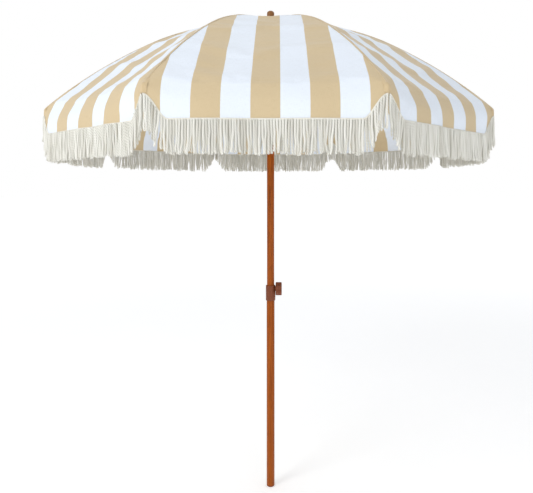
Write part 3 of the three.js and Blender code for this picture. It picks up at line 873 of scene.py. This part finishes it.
def add_cord(parts, rng, gore, v, layer, shorten, lean):
    """One two-ply twisted cord; layer 0 is the outer row, 1 the inner."""
    v = v + rng.normal(0, 0.0006)
    v = float(np.clip(v, -HALF_CHORD + 0.003, HALF_CHORD - 0.003))
    top = valance_surface(np.array([v]), np.array([1.0]), gore)[0]
    length = CORD_LENGTH * (1 - abs(rng.normal(0, 0.05)) - shorten - 0.02 * layer)
    rings = (34, 22)[layer]
    down = np.linspace(0, 1, rings)
    sway_v = lean + rng.normal(0, 0.0026)
    sway_u = rng.normal(0, 0.0026)
    phase = rng.uniform(0, 6.28)
    # each cord gets a random tone; the inner row is painted 0.25 darker, as shade behind the outer
    # row
    tone = float(np.clip(rng.normal(0.6 - 0.25 * layer, 0.22), 0, 1))
    wiggle_u = 0.0011 * np.sin(down * 6 + phase)
    wiggle_v = 0.0022 * np.sin(down * 5 + phase * 2) + 0.0010 * np.sin(down * 13 + phase)
    centre = np.stack([
        top[0] + 0.0016 - 0.0052 * layer + sway_u * down**1.5 + wiggle_u,
        v + sway_v * down**1.5 + wiggle_v * down,
        top[2] + 0.0005 - length * down], 1)
    twist = phase + 2 * math.pi * (length / TWIST_LENGTH) * down
    # thinner at the cut end and where it leaves the hem
    cut_end = 1 - 0.3 * np.clip((down - 0.95) / 0.05, 0, 1)
    radius = PLY_RADIUS * cut_end * (0.85 + 0.15 * np.clip(down / 0.05, 0, 1))
    for ply in (0, math.pi):
        around = np.stack([np.cos(twist + ply), np.sin(twist + ply), np.zeros(rings)], 1)
        path = centre + PLY_OFFSET * around
        path[:, 0] = np.clip(path[:, 0], VALANCE_U - 0.02, VALANCE_U + 0.014)
        path[:, 1] = np.clip(path[:, 1], -HALF_CHORD - 0.001, HALF_CHORD + 0.001)
        parts.add_tube(path, radius, (7, 5)[layer], (v, 0), CORD_SLOT, tone, centre)


def add_fringe(parts, gore, k, lo, hi):
    rng = np.random.default_rng(900 + gore * 10 + k)
    count = max(1, int(round((hi - lo) / CORD_PITCH)))
    clump = [rng.normal(0, 1) for _ in range(count * 2 + 2)]
    for layer, start in ((0, 0.5), (1, 0.98)):
        for c in range(count):
            # neighbouring cords lean towards each other in loose clumps
            lean = 0.0052 * (clump[(c + layer) // 3] - 0.5 * clump[c // 5 + 1])
            add_cord(parts, rng, gore, v=lo + (hi - lo) * (c + start) / count, layer=layer,
                     shorten=0.035 * abs(clump[c // 4]), lean=lean)


def valance_strip(gore, k, angle):
    """Valance, hem tape and fringe between two cuts, as one piece."""
    lo, hi = STRIPS[k]
    # rows closer together in the rounding at the top
    rows = np.concatenate([np.linspace(0, 0.12, 6), np.linspace(0.12, 1, 11)[1:]])
    v, down = np.meshgrid(np.linspace(lo, hi, 25), rows)
    points = valance_surface(v, down, gore)
    normals = surface_normals(lambda a, b: valance_surface(b * HALF_CHORD, a, gore),
                              down, v / HALF_CHORD)
    normals *= np.where(normals[..., :1] < 0, -1, 1)
    uvs = np.stack([v, FABRIC_LEN + (CHORD_Z - points[..., 2])], -1)
    parts = Parts()
    parts.add_cloth(points, normals, uvs)
    add_hem_tape(parts, gore, lo, hi)
    add_fringe(parts, gore, k, lo, hi)
    ob = parts.build(f"valance_{gore + 1}_strip_{k + 1}", angle, [CANVAS, TAPE, CORD],
                     with_tones=True)
    shade_cloth(ob, normals, angle)
    return ob


FITS = [(fit_gore_strip(lo, hi), fit_valance_strip(lo, hi)) for lo, hi in STRIPS]
for gore in range(GORES):
    angle = -math.pi / 2 + gore * 2 * HALF_ANGLE
    for k, (gore_fit, valance_fit) in enumerate(FITS):
        ob = gore_strip(gore, k, angle)
        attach(ob, f"gore_{gore + 1}_body")
        fold(ob)
        if k == MIDDLE_STRIP:
            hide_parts(f"canopy_gore_{gore + 1}")
        ob = valance_strip(gore, k, angle)
        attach(ob, f"valance_{gore + 1}_body")
        fold(ob)
        if k == MIDDLE_STRIP:
            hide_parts(f"valance_{gore + 1}", f"fringe_{gore + 1}")

# ---- seams over the ribs, with their stitching ---------------------------------------------
CORNER_R = HALF_CHORD / SIN_HALF
# the tape turning down over the rib's tip: radius past CORNER_R, height, length past the seam
TIP_TURN = [(-0.0008, 1.7130, 0.006), (0.0016, 1.7088, 0.011), (0.0021, 1.7030, 0.016),
            (0.0020, 1.6940, 0.024), (0.0018, 1.6828, 0.033)]
# section of the seam tape: across, height over the cloth
SEAM_SECTION = [(-0.0048, 0.0002), (-0.0040, 0.0011), (-0.0012, 0.0013), (0.0, 0.0016),
                (0.0012, 0.0013), (0.0040, 0.0011), (0.0048, 0.0002)]
STITCH_ROW, STITCH_PITCH, STITCH_HALF, THREAD_RADIUS = 0.0029, 0.0075, 0.0024, 0.00038

seam_share = np.linspace(0.035, 0.994, 150)
seam_r, seam_z = fabric_at(seam_share)
tip_r, tip_z, tip_along = np.array(TIP_TURN).T
seam_r = np.concatenate([seam_r, CORNER_R + tip_r])
seam_z = np.concatenate([seam_z, tip_z])
seam_share = np.concatenate([seam_share, seam_share[-1] + tip_along / FABRIC_LEN])
seam_normal_r, seam_normal_z = outward_normals(seam_r, seam_z)


def seam_tape(number, angle):
    # it widens to a small pocket at the tip
    near_tip = np.clip((seam_share * FABRIC_LEN - (FABRIC_LEN - 0.042)) / 0.030, 0, 1)
    widen = 1 + 1.9 * smoothstep(near_tip)
    verts, uvs = [], []
    for i, share in enumerate(seam_share):
        pucker = 0.00025 * math.sin(i * 2.1)
        for across, height in SEAM_SECTION:
            y = across * widen[i]
            lift = height + pucker
            verts.append((seam_r[i] + seam_normal_r[i] * lift - abs(y) * TAN_HALF, y,
                          seam_z[i] + seam_normal_z[i] * lift))
            uvs.append((y, share * FABRIC_LEN))
    faces = grid_faces(len(seam_share), len(SEAM_SECTION))
    ob = make(f"seam_{number}", turn(verts, angle), faces, [SEAM], uvs)
    ob.modifiers.new("thickness", "SOLIDIFY").thickness = 0.0005
    return ob


def seam_stitches(number, angle):
    """Short thread lines along both sides of the seam."""
    parts = Parts()
    height = np.array([0.0012, 0.0017, 0.0012])
    for y in (-STITCH_ROW, STITCH_ROW):
        for at in np.arange(0.06, FABRIC_LEN - 0.01, STITCH_PITCH):
            radius, z = fabric_at(np.array([at - STITCH_HALF, at, at + STITCH_HALF]) / FABRIC_LEN)
            normal_r = np.interp(at / FABRIC_LEN, seam_share, seam_normal_r)
            normal_z = np.interp(at / FABRIC_LEN, seam_share, seam_normal_z)
            path = np.stack([radius + normal_r * height, np.full(3, y),
                             z + normal_z * height - abs(y) * TAN_HALF * 0.5], 1)
            parts.add_tube(path, THREAD_RADIUS, sides=4, uv_start=(y, at))
    return parts.build(f"seam_stitches_{number}", angle, [THREAD])


for i in range(GORES):
    angle = -math.pi / 2 + HALF_ANGLE + i * 2 * HALF_ANGLE
    seam = seam_tape(i + 1, angle)
    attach(seam, f"rib_{i + 1}_body")
    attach(seam_stitches(i + 1, angle), f"rib_{i + 1}_body")


# ---- stage ---------------------------------------------------------------------------------
def floor_material():
    m = Mat("floor", Roughness=0.9, Specular_IOR_Level=0.1)
    mottle = m.noise(scale=3.0, detail=3)
    m.color(m.mix(mottle, (0.86, 0.86, 0.86, 1), (0.88, 0.88, 0.88, 1)))
    m.shader.inputs["Emission Color"].default_value = WHITE
    # brighter with distance, so that the floor runs into the backdrop without a line
    far = m.node("ShaderNodeVectorMath", operation="LENGTH")
    m.feed(m.coords("Object"), far.inputs[0])
    glow = m.node("ShaderNodeMapRange", interpolation_type="SMOOTHSTEP")
    limits = {"From Min": 1.5, "From Max": 9.0, "To Min": 0.37, "To Max": 0.56}
    for key, value in limits.items():
        glow.inputs[key].default_value = value
    m.feed(far.outputs["Value"], glow.inputs["Value"])
    m.feed(glow.outputs[0], m.shader.inputs["Emission Strength"])
    # clear from below, so that the canopy's underside can be looked at
    geometry = m.node("ShaderNodeNewGeometry")
    clear = m.node("ShaderNodeBsdfTransparent")
    sides = m.node("ShaderNodeMixShader")
    m.feed(geometry.outputs["Backfacing"], sides.inputs[0])
    m.feed(m.shader.outputs[0], sides.inputs[1])
    m.feed(clear.outputs[0], sides.inputs[2])
    m.feed(sides.outputs[0], m.tree.nodes["Material Output"].inputs["Surface"])
    return m.material


def floor():
    """A wide flat floor, finer near the object, facing up."""
    lines = np.array([-60, -20, -8, -3, 0, 3, 8, 20, 60.0])
    verts = [(x, y, 0.0) for y in lines for x in lines]
    faces = flipped(grid_faces(len(lines), len(lines)))
    return make("floor", verts, faces, [floor_material()])


def area(name, place, aim, size, power, color=(1, 1, 1)):
    light = bpy.data.lights.new(name, "AREA")
    light.shape = "RECTANGLE"
    light.size, light.size_y = size
    light.energy = power
    light.color = color
    ob = bpy.data.objects.new(name, light)
    ob.location = place
    ob.rotation_euler = (Vector(aim) - Vector(place)).to_track_quat("-Z", "Y").to_euler()
    bpy.context.scene.collection.objects.link(ob)


def studio_world():
    """A plain white backdrop to the camera, softer as a light."""
    world = bpy.data.worlds.new("studio")
    bpy.context.scene.world = world
    world.use_nodes = True
    nodes, link = world.node_tree.nodes, world.node_tree.links.new
    soft = nodes["Background"]
    soft.inputs["Color"].default_value = (0.95, 0.97, 1.0, 1)
    soft.inputs["Strength"].default_value = 0.58
    backdrop = nodes.new("ShaderNodeBackground")
    backdrop.inputs["Color"].default_value = WHITE
    ray = nodes.new("ShaderNodeLightPath")
    pick = nodes.new("ShaderNodeMixShader")
    link(ray.outputs["Is Camera Ray"], pick.inputs[0])
    link(soft.outputs[0], pick.inputs[1])
    link(backdrop.outputs[0], pick.inputs[2])
    link(pick.outputs[0], nodes["World Output"].inputs["Surface"])


def camera():
    """Level, in front of the umbrella (-Y), looking along +Y."""
    data = bpy.data.cameras.new("camera")
    data.sensor_width = 36
    data.lens = 36.27
    data.shift_x = -0.0255
    data.shift_y = -0.1118
    ob = bpy.data.objects.new("camera", data)
    ob.location = (0.0446, -2.522, 1.401)
    ob.rotation_euler = (math.pi / 2, 0, 0)
    bpy.context.scene.collection.objects.link(ob)
    bpy.context.scene.camera = ob


floor()
area("key", place=(-3.1, -2.9, 3.6), aim=(0, 0, 1.5), size=(1.8, 2.4), power=76,
     color=(1.0, 0.99, 0.975))
area("front_fill", place=(1.0, -4.6, 1.5), aim=(0, 0, 1.4), size=(3, 2.5), power=28)
area("top", place=(0.4, 1.0, 5.2), aim=(0, 0, 1.9), size=(4, 4), power=28)
area("right_fill", place=(4.2, -0.5, 2.2), aim=(0, 0, 1.6), size=(2, 3), power=3)
studio_world()
camera()
bpy.context.scene.view_settings.view_transform = "Standard"
